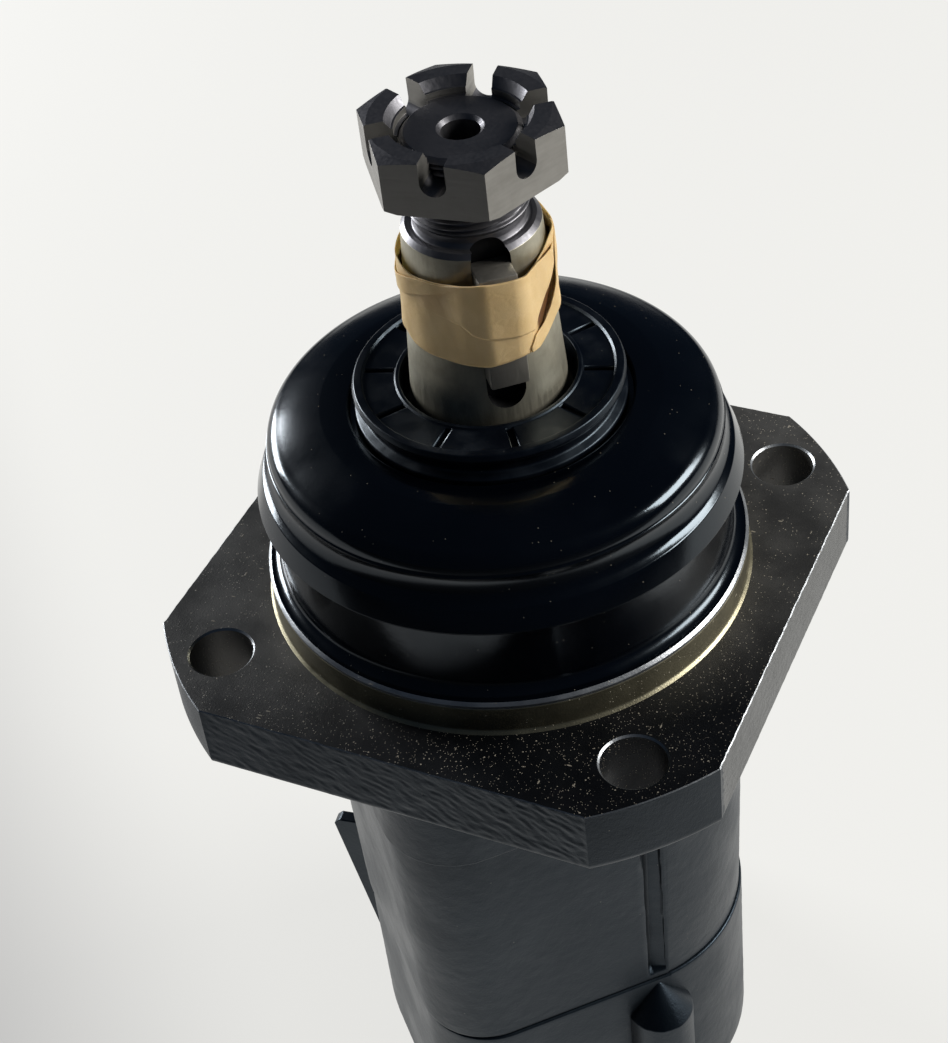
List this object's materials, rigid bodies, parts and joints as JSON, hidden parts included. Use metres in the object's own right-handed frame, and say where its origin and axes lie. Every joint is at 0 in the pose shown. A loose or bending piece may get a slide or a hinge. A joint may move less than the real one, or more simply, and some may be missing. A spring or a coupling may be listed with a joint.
{
  "type": "hydraulic wheel motor",
  "caption": "Low-speed hydraulic motor with a square flange, bell-shaped nose, tapered keyed shaft and slotted nut",
  "frame": {"origin": "centre of the flange's mounting face, on the shaft's axis", "axes": "+Z along the shaft, out of the nose; +X and +Y along the square flange's sides"},
  "size_m": [0.1552, 0.1552, 0.327],
  "materials": {
    "black_paint": "semi-gloss black paint over cast iron",
    "black_rubber": "matte moulded rubber",
    "shaft_steel": "ground steel, oiled",
    "key_steel": "dark mill finish",
    "dark_nut": "dark phosphate",
    "paper_tape": "crinkled paper tape",
    "bearing_steel": "ground and polished",
    "pressed_steel": "pressed sheet",
    "ground_iron": "ground"
  },
  "bodies": {
    "housing": {"bearing_housing": "black_paint", "rear_housing": "black_paint", "dust_seal": "black_rubber", "shaft_seal": "black_rubber", "front_bearing_cup": "bearing_steel", "rear_bearing_cup": "bearing_steel", "bearing_lock_ring": "shaft_steel", "valve_sleeve": "ground_iron", "distributor_plate": "ground_iron", "geroler_ring": "ground_iron", "end_plate": "ground_iron", "housing_screws": "dark_nut", "dowel_pins": "bearing_steel", "joint_seal_ring": "black_rubber", "gallery_plug": "dark_nut"},
    "shaft": {"output_shaft": "shaft_steel", "shaft_key": "key_steel", "slotted_nut": "dark_nut", "masking_tape": "paper_tape", "front_bearing_cone": "bearing_steel", "rear_bearing_cone": "bearing_steel", "valve_spool": "ground_iron"},
    "front_cage": {"front_bearing_rollers": "bearing_steel", "front_bearing_cage": "pressed_steel"},
    "rear_cage": {"rear_bearing_rollers": "bearing_steel", "rear_bearing_cage": "pressed_steel"},
    "orbit": {"drive_spacer": "bearing_steel"},
    "rotor": {"rotor": "bearing_steel"},
    "drive_link": {"drive_link": "shaft_steel"},
    "geroler_roller_1": {"geroler_roller_1": "bearing_steel"},
    "geroler_roller_2": {"geroler_roller_2": "bearing_steel"},
    "geroler_roller_3": {"geroler_roller_3": "bearing_steel"},
    "geroler_roller_4": {"geroler_roller_4": "bearing_steel"},
    "geroler_roller_5": {"geroler_roller_5": "bearing_steel"},
    "geroler_roller_6": {"geroler_roller_6": "bearing_steel"},
    "geroler_roller_7": {"geroler_roller_7": "bearing_steel"}
  },
  "joints": [
    {"name": "shaft_spin", "type": "hinge", "parent": "housing", "child": "shaft", "pos_m": [0, 0, 0], "axis": [0, 0, 1], "continuous": true},
    {"name": "front_cage_spin", "type": "hinge", "parent": "housing", "child": "front_cage", "pos_m": [0, 0, 0.03], "axis": [0, 0, 1], "continuous": true},
    {"name": "rear_cage_spin", "type": "hinge", "parent": "housing", "child": "rear_cage", "pos_m": [0, 0, -0.048], "axis": [0, 0, 1], "continuous": true},
    {"name": "rotor_orbit", "type": "hinge", "parent": "housing", "child": "orbit", "pos_m": [0, 0, -0.143], "axis": [0, 0, 1], "continuous": true},
    {"name": "rotor_spin", "type": "hinge", "parent": "orbit", "child": "rotor", "pos_m": [0.0028, 0, -0.143], "axis": [0, 0, 1], "continuous": true},
    {"name": "link_spin", "type": "hinge", "parent": "orbit", "child": "drive_link", "pos_m": [0, 0, -0.032], "axis": [-0.0252, 0, 0.9997], "continuous": true},
    {"name": "geroler_roller_1_spin", "type": "hinge", "parent": "housing", "child": "geroler_roller_1", "pos_m": [0.032, 0, -0.143], "axis": [0, 0, 1], "continuous": true},
    {"name": "geroler_roller_2_spin", "type": "hinge", "parent": "housing", "child": "geroler_roller_2", "pos_m": [0.01995, 0.02502, -0.143], "axis": [0, 0, 1], "continuous": true},
    {"name": "geroler_roller_3_spin", "type": "hinge", "parent": "housing", "child": "geroler_roller_3", "pos_m": [-0.00712, 0.0312, -0.143], "axis": [0, 0, 1], "continuous": true},
    {"name": "geroler_roller_4_spin", "type": "hinge", "parent": "housing", "child": "geroler_roller_4", "pos_m": [-0.02883, 0.01388, -0.143], "axis": [0, 0, 1], "continuous": true},
    {"name": "geroler_roller_5_spin", "type": "hinge", "parent": "housing", "child": "geroler_roller_5", "pos_m": [-0.02883, -0.01388, -0.143], "axis": [0, 0, 1], "continuous": true},
    {"name": "geroler_roller_6_spin", "type": "hinge", "parent": "housing", "child": "geroler_roller_6", "pos_m": [-0.00712, -0.0312, -0.143], "axis": [0, 0, 1], "continuous": true},
    {"name": "geroler_roller_7_spin", "type": "hinge", "parent": "housing", "child": "geroler_roller_7", "pos_m": [0.01995, -0.02502, -0.143], "axis": [0, 0, 1], "continuous": true}
  ],
  "couplings": [
    {"joint": "front_cage_spin", "follows": "shaft_spin", "ratio": 0.4283},
    {"joint": "rear_cage_spin", "follows": "shaft_spin", "ratio": 0.4338},
    {"joint": "rotor_orbit", "follows": "shaft_spin", "ratio": -6},
    {"joint": "rotor_spin", "follows": "shaft_spin", "ratio": 7},
    {"joint": "link_spin", "follows": "shaft_spin", "ratio": 7}
  ]
}
